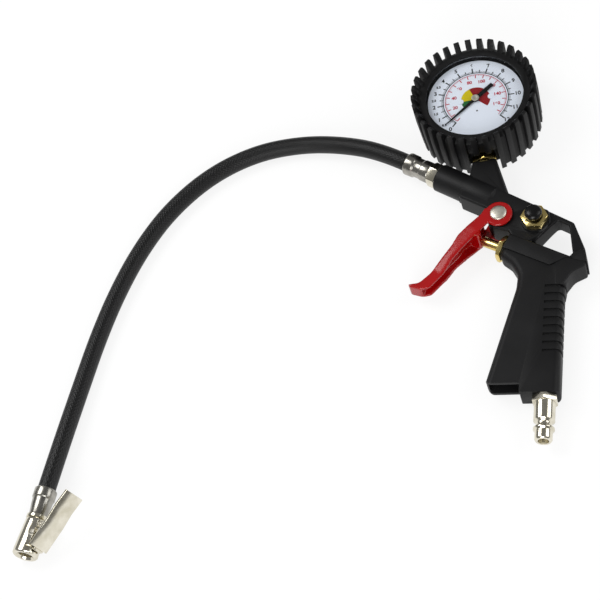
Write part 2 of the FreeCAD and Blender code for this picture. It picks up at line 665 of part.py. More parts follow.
def bleed_washer():
    """Rubber washer on the disc, pressed up against the thread's end."""
    low = BLEED + UP * (bleed_top - 9.0)
    ring = Part.makeCylinder(3.2, 2.0 - TOUCH, low)
    return ring.cut(Part.makeCylinder(1.5 + TOUCH, 2.0, low))


def bleed_button():
    """Domed cap, raised above the nut by its travel."""
    start = BLEED + UP * (bleed_top + BLEED_NUT_HEIGHT + BUTTON_TRAVEL + SIDE_GAP)
    height = BUTTON_HEIGHT - BUTTON_TRAVEL
    cap = turned(start, UP, [(0, BUTTON_R), (height - 1.8, BUTTON_R), (height - 0.7, BUTTON_R - 0.9),
                             (height, BUTTON_R - 2.6)])
    return cap.cut(Part.makeCylinder(1.5 + TOUCH, 2.5 - SIDE_GAP + TOUCH, start))


def bleed_spring():
    foot = BLEED + UP * (bleed_top - 1.0)
    return coil(foot, UP, 2.4, 0.35, BLEED_NUT_HEIGHT + 1.0 + BUTTON_TRAVEL + SIDE_GAP, 4.5)


# ---- gauge ----------------------------------------------------------------------------------------
def radial(angle, radius, z):
    return heading(angle) * radius + UP * z


def boot_ribs():
    """Tread ribs: a ramp on the front shoulder that stands proud, then down the side."""
    ribs = []
    for k in range(RIB_COUNT):
        angle = NECK_ANGLE + (k + 0.5) * 360.0 / RIB_COUNT
        points = [(32.6, BOOT_FRONT - 0.5), (34.6, RIB_FRONT - 1.6), (36.0, RIB_FRONT),
                  (RIB_TIP_R, RIB_FRONT - 0.6), (RIB_TIP_R, 22.0), (RIB_TIP_R - 0.8, 0.0),
                  (33.8, 0.0), (33.8, BOOT_FRONT - 3.0)]
        corners = [Vec(r, 0, z) for r, z in points]
        corners.append(corners[0])
        rib = Part.Face(Part.makePolygon(corners)).extrude(Vec(0, RIB_WIDTH, 0))
        rib.translate(Vec(0, -RIB_WIDTH / 2, 0))
        rib.rotate(Vec(0, 0, 0), UP, angle)
        ribs.append(rib)
    return ribs


def rubber_boot():
    wall = turned(Vec(0, 0, 0), UP, [(0, BOOT_R - 1.2), (1.2, BOOT_R), (BOOT_FRONT - 1.6, BOOT_R),
                                     (BOOT_FRONT, BOOT_R - 2.4)])
    body = wall.fuse(boot_ribs())
    floor = Part.makeCylinder(BOOT_FLOOR_R, 10, Vec(0, 0, -1))
    room = Part.makeCylinder(CASE_R + TOUCH, BEZEL_TOP + TOUCH - CASE_BACK, Vec(0, 0, CASE_BACK - TOUCH))
    mouth = Part.makeCylinder(BOOT_LIP_R, 20, Vec(0, 0, BEZEL_TOP))
    slot = Part.makeBox(STEM_HEX_AF + 4, 20, MID + STEM_HEX_AF / 2 + 3.0)
    slot.translate(Vec(-STEM_HEX_AF / 2 - 2, -20, -1))
    slot.translate(Vec(0, -CASE_R + 4, 0))
    slot.rotate(Vec(0, 0, 0), UP, NECK_ANGLE - 270)
    return body.cut([floor, room, mouth, slot]).removeSplitter()


def gauge_case():
    outer = Part.makeCylinder(CASE_R, CASE_FRONT - CASE_BACK, Vec(0, 0, CASE_BACK))
    inner = Part.makeCylinder(CASE_R - CASE_WALL, CASE_FRONT, Vec(0, 0, CASE_BACK + CASE_WALL))
    hole = rod(centre, neck_way, 6.5 + TOUCH, CASE_R + 5)
    return outer.cut([inner, hole])


def gauge_bezel():
    ring = Part.makeCylinder(CASE_R, BEZEL_TOP - CASE_FRONT, Vec(0, 0, CASE_FRONT))
    seat = Part.makeCylinder(WINDOW_R + TOUCH, WINDOW_Z + WINDOW_THICK - CASE_FRONT, Vec(0, 0, CASE_FRONT))
    mouth = Part.makeCylinder(BEZEL_LIP_R, 5, Vec(0, 0, CASE_FRONT))
    return ring.cut([seat, mouth])


def gauge_window():
    edge = Part.makeCylinder(WINDOW_R, WINDOW_Z + WINDOW_THICK - CASE_FRONT, Vec(0, 0, CASE_FRONT))
    hollow = Part.makeCylinder(BEZEL_LIP_R - 1.0, WINDOW_Z - CASE_FRONT, Vec(0, 0, CASE_FRONT))
    return edge.cut(hollow)


def gauge_dial():
    plate = Part.makeCylinder(DIAL_R, DIAL_THICK, Vec(0, 0, DIAL_Z))
    hole = Part.makeCylinder(1.6, 5, Vec(0, 0, DIAL_Z - 1))
    screws = [Part.makeCylinder(1.05, 5, heading(SECTOR_ANGLE + a) * 9.0 + UP * (DIAL_Z - 1))
              for a in (90, 270)]
    return plate.cut([hole] + screws)


def dial_screws():
    solids = []
    for a in (90, 270):
        spot = heading(SECTOR_ANGLE + a) * 9.0
        head = Part.makeCylinder(1.7, 0.5, spot + UP * (DIAL_Z + DIAL_THICK))
        shank_low = PLATE_FRONT_Z + PLATE_THICK
        shank = Part.makeCylinder(1.0, DIAL_Z + DIAL_THICK - shank_low, spot + UP * shank_low)
        solids.append(head.fuse(shank).removeSplitter())
    return Part.makeCompound(solids)


def gauge_pointer():
    """Flat pointer: thin tip, broad tail, round hub."""
    way = heading(POINTER_ZERO)
    side = UP.cross(way)
    corners = [way * POINTER_TIP + side * 0.25, way * 8.0 + side * 0.9, way * -4.0 + side * 1.3,
               way * -POINTER_TAIL + side * 1.3, way * -POINTER_TAIL - side * 1.3,
               way * -4.0 - side * 1.3, way * 8.0 - side * 0.9, way * POINTER_TIP - side * 0.25]
    corners.append(corners[0])
    blade = Part.Face(Part.makePolygon(corners)).extrude(UP * POINTER_THICK)
    blade.translate(UP * POINTER_Z)
    hub = Part.makeCylinder(2.2, 1.2, Vec(0, 0, POINTER_Z - 0.2))
    hole = Part.makeCylinder(ARBOR_R + TOUCH, 0.9, Vec(0, 0, POINTER_Z - 0.3))
    return blade.fuse(hub).cut(hole).removeSplitter()


def gauge_socket():
    """Brass stem: block inside the case, round neck through its wall, hexagon and thread."""
    block = Part.makeBox(2 * SOCKET_HALF, 2 * SOCKET_HALF - 1, CASE_R - 1.6 - SOCKET_FROM)
    block.translate(Vec(-SOCKET_HALF, -SOCKET_HALF + 0.5, 0))
    across = UP.cross(neck_way)
    block = put(block, centre + neck_way * SOCKET_FROM, neck_way, across)
    shelf_low = MID + SOCKET_HALF - 0.5
    shelf = Part.makeBox(2 * SOCKET_HALF, 6.0, PLATE_BACK_Z - shelf_low)
    shelf.translate(Vec(-SOCKET_HALF, -SOCKET_FROM - 6.0, shelf_low))
    shelf.rotate(Vec(0, 0, 0), UP, NECK_ANGLE - 270)
    neck_rod = rod(centre + neck_way * (CASE_R - 2.0), neck_way, 6.5, 4.0)
    nut = chamfered_hex(centre + neck_way * STEM_HEX_FROM, neck_way, STEM_HEX_AF,
                        NECK_TOP - TOUCH - STEM_HEX_FROM, UP)
    thread = rod(centre + neck_way * (NECK_TOP - 1), neck_way, STEM_THREAD_R, STEM_THREAD)
    bore = rod(centre + neck_way * (SOCKET_FROM + 5), neck_way, 1.6, 40.0)
    side_way = rod(centre + neck_way * (BOURDON_R - 1.0), across, 0.9, 10.0)
    return block.fuse([shelf, neck_rod, nut, thread]).cut([bore, side_way]).removeSplitter()


def bourdon_start():
    return NECK_ANGLE - 360 + math.degrees(math.asin((SOCKET_HALF + TOUCH) / (BOURDON_R - 1.2)))


def ring_sector(inner, outer, low, high, start, sweep):
    corners = [Vec(inner, 0, low), Vec(outer, 0, low), Vec(outer, 0, high), Vec(inner, 0, high),
               Vec(inner, 0, low)]
    solid = Part.Face(Part.makePolygon(corners)).revolve(Vec(0, 0, 0), UP, sweep)
    solid.rotate(Vec(0, 0, 0), UP, start)
    return solid


def bourdon_tube():
    inner = BOURDON_R - BOURDON_THICK / 2
    outer = BOURDON_R + BOURDON_THICK / 2
    low = MID - BOURDON_HEIGHT / 2
    high = MID + BOURDON_HEIGHT / 2
    skin = ring_sector(inner, outer, low, high, bourdon_start(), BOURDON_SWEEP)
    room = ring_sector(inner + BOURDON_WALL, outer - BOURDON_WALL, low + BOURDON_WALL,
                       high - BOURDON_WALL, bourdon_start() - 5, BOURDON_SWEEP + 10)
    return skin.cut(room)


def bourdon_tip():
    """Brazed cap that closes the tube, with an eye for the link."""
    inner = BOURDON_R - BOURDON_THICK / 2
    outer = BOURDON_R + BOURDON_THICK / 2
    end = bourdon_start() + BOURDON_SWEEP
    cap = ring_sector(inner, outer, MID - BOURDON_HEIGHT / 2, GEAR_Z + 0.2, end + 0.05, 9.0)
    return cap


def gear_teeth(count, pitch_radius, first, last, half_angle, reach, root):
    """Short straight-flanked teeth from index first to last, as prisms about the origin."""
    teeth = []
    step = 360.0 / count
    for k in range(first, last):
        points = []
        for radius, share in ((root, 1.25), (pitch_radius, 1.0), (pitch_radius + reach, 0.55)):
            points.append((radius, -half_angle * share))
        for radius, share in ((pitch_radius + reach, 0.55), (pitch_radius, 1.0), (root, 1.25)):
            points.append((radius, half_angle * share))
        corners = [heading(k * step + a) * r for r, a in points]
        corners.append(corners[0])
        teeth.append(Part.Face(Part.makePolygon(corners)).extrude(UP * GEAR_THICK))
    return teeth


pinion_r = GEAR_MODULE * PINION_TEETH / 2
sector_r = GEAR_MODULE * SECTOR_TEETH / 2
sector_pivot = heading(SECTOR_ANGLE) * (pinion_r + sector_r + 0.1)


def pinion_arbor():
    reach = GEAR_MODULE * 0.75
    root = pinion_r - GEAR_MODULE * 1.05
    half = math.degrees(GEAR_MODULE * 0.5 / pinion_r)
    core = Part.makeCylinder(root + 0.05, GEAR_THICK)
    wheel = core.fuse(gear_teeth(PINION_TEETH, pinion_r, 0, PINION_TEETH, half, reach, root))
    wheel.rotate(Vec(0, 0, 0), UP, SECTOR_ANGLE)
    wheel.translate(UP * GEAR_Z)
    low = PLATE_BACK_Z + 0.2
    arbor = Part.makeCylinder(ARBOR_R, POINTER_Z + 0.5 - low, Vec(0, 0, low))
    return wheel.fuse(arbor).removeSplitter()


def sector_gear():
    reach = GEAR_MODULE * 0.75
    root = sector_r - GEAR_MODULE * 1.05
    half = math.degrees(GEAR_MODULE * 0.5 / sector_r)
    step = 360.0 / SECTOR_TEETH
    before = 10
    after = 2
    arm_span = (before + after + 1) * step
    start = -(before + 0.5) * step
    rim = ring_sector(root - 1.6, root + 0.05, 0, GEAR_THICK, start, arm_span)
    middle = start + arm_span / 2
    arm = Part.makeBox(root - 0.8, 2.4, GEAR_THICK, Vec(0, -1.2, 0))
    arm.rotate(Vec(0, 0, 0), UP, middle)
    tail = Part.makeBox(6.0, 2.0, GEAR_THICK, Vec(0, -1.0, 0))
    tail.rotate(Vec(0, 0, 0), UP, middle + 180)
    boss = Part.makeCylinder(1.8, GEAR_THICK)
    teeth = gear_teeth(SECTOR_TEETH, sector_r, -before, after + 1, half, reach, root)
    for tooth in teeth:
        tooth.rotate(Vec(0, 0, 0), UP, step / 2)
    wheel = rim.fuse([arm, tail, boss] + teeth)
    wheel.rotate(Vec(0, 0, 0), UP, SECTOR_ANGLE + 180)
    wheel.translate(sector_pivot + UP * GEAR_Z)
    low = PLATE_BACK_Z + 0.2
    pin = Part.makeCylinder(ARBOR_R, PLATE_FRONT_Z + 0.8 - low, sector_pivot + UP * low)
    return wheel.fuse(pin).removeSplitter()


def movement_plate(low, through):
    """Brass plate that carries the arbors; it spans the socket's shelf and both pivots."""
    across = UP.cross(neck_way)
    foot = neck_way * (SOCKET_FROM + 5.5)
    head = heading(SECTOR_ANGLE) * (pinion_r + sector_r + 3.5)
    corners = [foot + across * 5.5, foot - across * 5.5, heading(190) * 8.0, head + heading(190) * 4.0,
               head + heading(10) * 4.0, heading(10) * 8.0]
    corners.append(corners[0])
    plate = Part.Face(Part.makePolygon(corners)).extrude(UP * PLATE_THICK)
    plate.translate(UP * low)
    holes = [Part.makeCylinder(ARBOR_R + RUN, through, Vec(0, 0, low + PLATE_THICK - through + 0.5)),
             Part.makeCylinder(ARBOR_R + RUN, through,
                               sector_pivot + UP * (low + PLATE_THICK - through + 0.5))]
    return plate.cut(holes)


def movement_back():
    """Back plate with the two pillars that hold the front plate off it."""
    plate = movement_plate(PLATE_BACK_Z, PLATE_THICK + 0.3)
    low = PLATE_BACK_Z + PLATE_THICK
    pillars = []
    for a in (90, 270):
        spot = heading(SECTOR_ANGLE + a) * 6.6
        pillars.append(Part.makeCylinder(1.1, PLATE_FRONT_Z - low, spot + UP * low))
    return plate.fuse(pillars).removeSplitter()


def hairspring():
    """Flat spiral of half turns about two centres, inner end on the arbor."""
    thick = 0.16
    pitch = 0.42
    coils = []
    for k in range(9):
        inner = ARBOR_R + 0.35 + k * pitch / 2
        half = ring_sector(inner, inner + thick, 20.2, 20.9, 0, 180)
        if k % 2:
            half.rotate(Vec(0, 0, 0), UP, 180)
            half.translate(Vec(pitch / 2, 0, 0))
        coils.append(half)
    return coils[0].fuse(coils[1:]).removeSplitter()


# ---- hose -----------------------------------------------------------------------------------------
hose_start = BARREL_FRONT + hose_way * (NUT_LENGTH + FERRULE_LENGTH)


def hose_route():
    """Route of the hose's centre line from the gun's ferrule to the chuck's."""
    first = hose_start
    lead = hose_start + hose_way * 20.0
    on_floor = HOSE_R + 0.1
    middle = [(-84.0, -15.6, 7.2), (-110.0, -12.6, on_floor), (-138.0, -17.4, on_floor),
              (-165.0, -32.2, on_floor), (-187.4, -56.0, on_floor), (-202.6, -83.6, on_floor),
              (-213.4, -114.2, on_floor), (-221.0, -146.0, on_floor), (-226.4, -178.0, on_floor)]
    chuck = Vec(-236.2, -246.6, CHUCK_Z)
    last_lead = chuck - heading(CHUCK_ANGLE) * 30.0
    return [first, lead] + [Vec(*p) for p in middle] + [last_lead, chuck]


def route_wire(points):
    """Straight runs joined by tangent arcs, each as large as its two runs allow."""
    edges = []
    radii = []
    here = points[0]
    for before, corner, after in zip(points, points[1:], points[2:]):
        back = before - corner
        onward = after - corner
        shorter = min(back.Length, onward.Length)
        back.normalize()
        onward.normalize()
        turn = math.pi - back.getAngle(onward)
        reach = 0.45 * shorter
        radius = reach / math.tan(turn / 2)
        radii.append(radius)
        bisector = back + onward
        bisector.normalize()
        top = corner + bisector * (radius / math.cos(turn / 2) - radius)
        begin = corner + back * reach
        end = corner + onward * reach
        edges.append(Part.LineSegment(here, begin).toShape())
        edges.append(Part.Arc(begin, top, end).toShape())
        here = end
    edges.append(Part.LineSegment(here, points[-1]).toShape())
    return Part.Wire(edges), radii


def hose():
    points = hose_route()
    wire, radii = route_wire(points)
    section = Part.Wire(Part.makeCircle(HOSE_R, points[0], points[1] - points[0]))
    tube = wire.makePipeShell([section], True, False)
    expected = math.pi * HOSE_R ** 2 * wire.Length
    print("hose length", round(wire.Length, 1), "volume ratio", round(tube.Volume / expected, 5))
    print("hose radii", [round(r) for r in radii])
    return tube


def hose_fitting():
    """Nut and tail at the gun: thread in the barrel, hexagon, barbed tail inside the ferrule."""
    start = BARREL_FRONT
    nut = chamfered_hex(start + hose_way * TOUCH, hose_way, NUT_AF, NUT_LENGTH - TOUCH, UP)
    thread = rod(start - hose_way * 10.0, hose_way, THREAD_R, 11.0)
    tail = rod(start + hose_way * NUT_LENGTH * 0.9, hose_way, TAIL_R,
               NUT_LENGTH * 0.1 + FERRULE_LENGTH - 0.4)
    bore = rod(start - hose_way * 12.0, hose_way, TAIL_BORE_R, 60.0)
    return nut.fuse([thread, tail]).cut(bore).removeSplitter()


def ferrule(start, way, length, radius):
    """Crimped sleeve: rolled mouth at the hose end, waist, and a step beside the nut."""
    profile = [(0.0, radius - 1.0), (0.5, radius - 0.5), (length * 0.34, radius - 0.5),
               (length * 0.36, radius - 0.9), (length * 0.62, radius - 0.9),
               (length * 0.66, radius - 0.2), (length - 0.6, radius), (length, radius - 0.5)]
    sleeve = turned(start, way, profile)
    return sleeve.cut(rod(start, way, TAIL_R + TOUCH, length))


# ---- chuck ----------------------------------------------------------------------------------------
chuck_way = heading(CHUCK_ANGLE)
chuck_start = Vec(-236.2, -246.6, CHUCK_Z)
lever_tilt = math.radians(CHUCK_LEVER_TILT)
chuck_side = UP.cross(chuck_way)
chuck_out = chuck_side * math.cos(lever_tilt) + UP * math.sin(lever_tilt)
chuck_across = chuck_way.cross(chuck_out)


def in_chuck(along, out=0.0, across=0.0):
    return chuck_start + chuck_way * along + chuck_out * out + chuck_across * across


def chuck_plate(points, width):
    """Prism whose outline is given along the chuck and out from its axis."""
    corners = [in_chuck(s, d, -width / 2) for s, d in points]
    corners.append(corners[0])
    return Part.Face(Part.makePolygon(corners)).extrude(chuck_across * width)


def chuck_body():
    mouth = CHUCK_LENGTH
    shell = turned(chuck_start, chuck_way, [(CHUCK_BODY_FROM, 5.4), (CHUCK_BODY_FROM + 0.8, 6.0),
                                            (CHUCK_BODY_FROM + 4.0, 6.3), (mouth - 4.0, CHUCK_MOUTH_R),
                                            (mouth - 0.7, CHUCK_MOUTH_R), (mouth, CHUCK_MOUTH_R - 0.7)])
    pin_s, pin_d = CHUCK_PIN_AT
    saddle = chuck_plate([(pin_s - 3.4, 0.0), (pin_s - 3.4, pin_d), (pin_s - 2.0, pin_d + 1.9),
                          (pin_s + 2.4, pin_d + 1.9), (mouth - 4.0, 7.2), (mouth - 4.0, 0.0)], 11.6)
    bore = rod(in_chuck(CHUCK_BORE_FROM), chuck_way, CHUCK_BORE_R, 30.0)
    pocket = rod(in_chuck(CHUCK_BORE_FROM - CHUCK_SEAL), chuck_way, CHUCK_SEAL_R, CHUCK_SEAL + 1)
    lead_in = turned(in_chuck(mouth - 1.2), chuck_way, [(0, CHUCK_BORE_R), (1.3, CHUCK_BORE_R + 1.1)])
    air = rod(in_chuck(0), chuck_way, 2.0, 35.0)
    slot = chuck_plate([(pin_s - 4.4, 4.45), (CHUCK_BORE_FROM, 4.45), (CHUCK_BORE_FROM, 2.0),
                        (mouth - 1.9, 2.0), (mouth - 1.9, 15.0), (pin_s - 4.4, 15.0)], CHUCK_SLOT)
    pin_hole = rod(in_chuck(pin_s, pin_d, -10), chuck_across, CHUCK_PIN_R + TOUCH, 20.0)
    tail_hole = rod(in_chuck(CHUCK_BODY_FROM - 1), chuck_way, 3.4 + TOUCH, 5.0)
    spring_seat = rod(in_chuck(22.6, 5.4), chuck_out, 2.9, 5.0)
    return shell.fuse(saddle).cut([bore, pocket, lead_in, air, slot, pin_hole, tail_hole,
                                   spring_seat]).removeSplitter()


def chuck_tail():
    """Hose tail at the chuck: barb inside the ferrule, ring, and thread into the chuck's body."""
    stem = turned(chuck_start, chuck_way, [(0.4, TAIL_R), (16.8, TAIL_R), (16.8, 6.2),
                                           (CHUCK_BODY_FROM - TOUCH, 6.2), (CHUCK_BODY_FROM - TOUCH, 3.4),
                                           (CHUCK_BODY_FROM + 3.6, 3.4)])
    return stem.cut(rod(chuck_start, chuck_way, TAIL_BORE_R, 40.0))


def chuck_ferrule():
    profile = [(0.0, 6.1), (0.5, 6.6), (6.0, 6.6), (6.2, 6.1), (10.0, 5.9), (16.7, 5.2)]
    sleeve = turned(chuck_start, chuck_way, profile)
    return sleeve.cut(rod(chuck_start, chuck_way, TAIL_R + TOUCH, 20.0))


def chuck_seal():
    start = in_chuck(CHUCK_BORE_FROM - CHUCK_SEAL)
    ring = rod(start, chuck_way, CHUCK_SEAL_R - TOUCH, CHUCK_SEAL)
    return ring.cut(rod(start, chuck_way, 1.9, CHUCK_SEAL))


def chuck_core_pin():
    """Cross-drilled peg that opens the tyre valve's core."""
    disc = rod(in_chuck(CHUCK_BORE_FROM - CHUCK_SEAL - 4.0), chuck_way, 2.0 - TOUCH, 1.5)
    peg = rod(in_chuck(CHUCK_BORE_FROM - CHUCK_SEAL - 3.0), chuck_way, 1.1, CHUCK_SEAL + 2.9)
    return disc.fuse(peg).removeSplitter()


def chuck_lever():
    """Pressed lever: bent finger plate and a tongue in the body's slot that ends in the jaw."""
    sheet = CHUCK_LEVER_SHEET
    top = [(37.8, 9.7), (23.2, 17.2), (14.3, 20.7), (5.6, 26.0)]
    under = [(s - sheet * 0.48, d - sheet * 0.88) for s, d in reversed(top)]
    plate = chuck_plate(top + under, CHUCK_LEVER_WIDTH)
    pin_s, pin_d = CHUCK_PIN_AT
    tongue = chuck_plate([(pin_s - 1.3, pin_d), (pin_s - 1.3, 12.6), (37.2, 8.8), (39.0, 8.8),
                          (39.0, 4.7), (38.2, 4.15), (37.4, 4.7), (pin_s + 2.2, 4.6)],
                         CHUCK_SLOT - 2 * 0.2)
    boss = rod(in_chuck(pin_s, pin_d, -CHUCK_SLOT / 2 + 0.2), chuck_across, 1.85, CHUCK_SLOT - 0.4)
    hole = rod(in_chuck(pin_s, pin_d, -10), chuck_across, CHUCK_PIN_R + RUN, 20.0)
    return plate.fuse([tongue, boss]).cut(hole).removeSplitter()


def chuck_hinge_pin():
    pin_s, pin_d = CHUCK_PIN_AT
    return rod(in_chuck(pin_s, pin_d, -5.8), chuck_across, CHUCK_PIN_R, 11.6)


def chuck_spring():
    return coil(in_chuck(22.6, 5.4), chuck_out, 2.2, 0.35, 9.0, 5.5)


# ---- assembly -------------------------------------------------------------------------------------
CORD_NODES = ("hose", "chuck_ferrule", "chuck_tail", "chuck_body", "chuck_seal", "chuck_core_pin",
              "chuck_lever", "chuck_hinge_pin", "chuck_spring")


def build():
    parts = {
        "gun_body": gun_body(), "handle_grip": handle_grip(), "air_tube": air_tube(),
        "inlet_bush": inlet_bush(), "inlet_nipple": inlet_nipple(),
        "valve_collar": valve_collar(), "valve_pin": valve_pin(), "valve_seat": valve_seat(),
        "pin_seal": o_ring(in_valve(COLLAR_SEAL_AT), pin_in, PIN_R + RUN, RING_WIRE_R - 0.02),
        "poppet_washer": poppet_washer(), "valve_poppet": valve_poppet(),
        "valve_spring": valve_spring(), "trigger_lever": trigger_lever(), "lever_pin": lever_pin(),
        "bleed_nut": bleed_nut(), "bleed_stem": bleed_stem(), "bleed_washer": bleed_washer(),
        "bleed_button": bleed_button(), "bleed_spring": bleed_spring(),
        "rubber_boot": rubber_boot(), "gauge_case": gauge_case(), "gauge_bezel": gauge_bezel(),
        "gauge_window": gauge_window(), "gauge_dial": gauge_dial(), "dial_screws": dial_screws(),
        "gauge_pointer": gauge_pointer(), "gauge_socket": gauge_socket(),
        "bourdon_tube": bourdon_tube(), "bourdon_tip": bourdon_tip(),
        "pinion_arbor": pinion_arbor(), "sector_gear": sector_gear(),
        "movement_back_plate": movement_back(),
        "movement_front_plate": movement_plate(PLATE_FRONT_Z, 3.0), "hairspring": hairspring(),
        "hose_fitting": hose_fitting(),
        "gun_ferrule": ferrule(BARREL_FRONT + hose_way * NUT_LENGTH, hose_way, FERRULE_LENGTH, FERRULE_R),
        "hose": hose(), "chuck_ferrule": chuck_ferrule(), "chuck_tail": chuck_tail(),
        "chuck_body": chuck_body(), "chuck_seal": chuck_seal(), "chuck_core_pin": chuck_core_pin(),
        "chuck_lever": chuck_lever(), "chuck_hinge_pin": chuck_hinge_pin(),
        "chuck_spring": chuck_spring(),
    }
    return parts


def main():
    parts = build()
    gun = Part.makeCompound([s for name, s in parts.items() if name not in CORD_NODES])
    box = gun.optimalBoundingBox(False, False)
    shift = Vec(-(box.XMin + box.XMax) / 2, -(box.YMin + box.YMax) / 2, -box.ZMin)
    print("shift", [round(v, 3) for v in shift], "size", round(box.XLength, 2), round(box.YLength, 2),
          round(box.ZLength, 2))
    os.makedirs("parts", exist_ok=True)
    for name, shape in parts.items():
        placed = shape.copy()
        placed.translate(shift)
        if not placed.isValid() or not placed.Solids:
            print("check", name, placed.isValid(), len(placed.Solids))
        placed.exportStep("parts/" + name + ".step")
        print(name, len(placed.Solids), round(placed.Volume, 1))


main()
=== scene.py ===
"""Looks of the portable tyre inflator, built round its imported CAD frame."""
import math

import bpy
from mathutils import Matrix, Vector


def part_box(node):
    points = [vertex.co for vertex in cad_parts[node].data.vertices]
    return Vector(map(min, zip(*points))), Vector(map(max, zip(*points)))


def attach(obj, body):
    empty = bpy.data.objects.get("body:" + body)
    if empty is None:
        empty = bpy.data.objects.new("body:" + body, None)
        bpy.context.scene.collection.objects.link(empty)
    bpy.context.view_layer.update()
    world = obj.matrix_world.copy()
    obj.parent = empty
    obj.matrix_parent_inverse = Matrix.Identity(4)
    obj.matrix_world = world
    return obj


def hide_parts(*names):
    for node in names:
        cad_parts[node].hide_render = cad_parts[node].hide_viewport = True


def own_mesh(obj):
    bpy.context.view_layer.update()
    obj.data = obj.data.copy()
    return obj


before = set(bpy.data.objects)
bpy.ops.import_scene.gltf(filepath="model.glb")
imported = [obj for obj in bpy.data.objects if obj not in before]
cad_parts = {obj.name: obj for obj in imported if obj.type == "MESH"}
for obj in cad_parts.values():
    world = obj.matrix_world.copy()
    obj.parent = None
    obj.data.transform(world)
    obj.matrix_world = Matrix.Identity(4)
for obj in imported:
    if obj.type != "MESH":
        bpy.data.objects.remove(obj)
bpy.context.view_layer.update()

MM = 0.001
scene = bpy.context.scene
scene.view_settings.view_transform = "Standard"

# ---- places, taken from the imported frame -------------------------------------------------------
dial_low, dial_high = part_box("gauge_dial")
GAUGE = (dial_low + dial_high) / 2          # the gauge's axis; distances below start from it
DIAL_FACE = dial_high.z
DIAL_UP = 98.5                              # direction of twelve o'clock
ZERO = 236.6                                # direction of the scale's zero
PER_BAR = 23.0                              # degrees of the scale for one bar
PSI_PER_BAR = 14.504
FULL_SCALE = 12                             # bar
PRINT = 0.03                                # thickness of the dial's print
HOSE_RADIUS = 5.3


def at(x, y, z):
    """Point given in millimetres from the gauge's axis and the floor."""
    return Vector((GAUGE.x + x * MM, GAUGE.y + y * MM, z * MM))


def round_gauge(angle, radius, z):
    """Point on a circle round the gauge's axis, radius in millimetres and height in metres."""
    turn = math.radians(angle)
    return Vector((GAUGE.x + radius * MM * math.cos(turn),
                   GAUGE.y + radius * MM * math.sin(turn), z))


# ---- camera and hose ---------------------------------------------------------------------------
def place_camera():
    """Long lens, high above the grip's side, looking down on the gun and its hose."""
    data = bpy.data.cameras.new("studio_camera")
    data.lens = 130.0
    data.sensor_width = 36.0
    data.clip_end = 20.0
    camera = bpy.data.objects.new("studio_camera", data)
    scene.collection.objects.link(camera)
    right = Vector((0.97045, 0.09524, -0.22170))
    up = Vector((0.03427, 0.85509, 0.51734))
    back = Vector((0.23885, -0.50965, 0.82656))
    spot = at(202.38, -769.07, 1051.48)
    camera.matrix_world = Matrix(((right.x, up.x, back.x, spot.x), (right.y, up.y, back.y, spot.y),
                                  (right.z, up.z, back.z, spot.z), (0, 0, 0, 1)))
    scene.camera = camera


def lay_hose():
    """Rubber hose from the ferrule at the gun to the ferrule at the chuck."""
    low = HOSE_RADIUS + 0.1                 # its centre line where it rests on the floor
    route = [(-41.12, -33.87, 10.0), (-58.53, -24.03, 10.0), (-84.0, -15.6, 7.2),
             (-110.0, -12.6, low), (-138.0, -17.4, low), (-165.0, -32.2, low), (-187.4, -56.0, low),
             (-202.6, -83.6, low), (-213.4, -114.2, low), (-221.0, -146.0, low),
             (-226.4, -178.0, low), (-231.77, -216.93, 7.6), (-236.2, -246.6, 7.6)]
    curve = bpy.data.curves.new("rubber_hose", "CURVE")
    curve.dimensions = "3D"
    spline = curve.splines.new("NURBS")
    spline.points.add(len(route) - 1)
    for point, (x, y, z) in zip(spline.points, route):
        point.co = (*at(x, y, z), 1.0)
    spline.order_u = 3
    spline.use_endpoint_u = True
    curve.resolution_u = 16
    curve.bevel_depth = HOSE_RADIUS * MM
    curve.bevel_resolution = 8
    curve.use_fill_caps = True
    hose = bpy.data.objects.new("rubber_hose", curve)
    scene.collection.objects.link(hose)
    return hose


place_camera()
hose = lay_hose()


# ---- materials ---------------------------------------------------------------------------------
def linear(code):
    """Linear colour of an sRGB hex value."""
    parts = [int(code[i:i + 2], 16) / 255 for i in (1, 3, 5)]
    parts = [p / 12.92 if p <= 0.04045 else ((p + 0.055) / 1.055) ** 2.4 for p in parts]
    return (*parts, 1.0)


def add(tree, kind, settings=None, **inputs):
    """Adds a node with its options, and sets or links its inputs (underscores for spaces)."""
    made = tree.nodes.new(kind)
    for name, value in (settings or {}).items():
        setattr(made, name, value)
    for name, value in inputs.items():
        key = int(name[1:]) if name[0] == "i" and name[1:].isdigit() else name.replace("_", " ")
        socket = made.inputs[key]
        if isinstance(value, bpy.types.NodeSocket):
            tree.links.new(value, socket)
        else:
            socket.default_value = value
    return made


def new_material(name):
    """Empty node material and its tree."""
    material = bpy.data.materials.new(name)
    material.use_nodes = True
    material.node_tree.nodes.clear()
    return material, material.node_tree


def close(tree, shader):
    """Ends a material with its shader."""
    add(tree, "ShaderNodeOutputMaterial", Surface=shader.outputs["BSDF"])


def two_tones(tree, factor, dark, light, low=0.3, high=0.7):
    """Colour that goes from dark to light as factor goes from low to high."""
    tone = add(tree, "ShaderNodeValToRGB", Fac=factor)
    for element, spot, code in zip(tone.color_ramp.elements, (low, high), (dark, light)):
        element.position = spot
        element.color = linear(code)
    return tone.outputs["Color"]


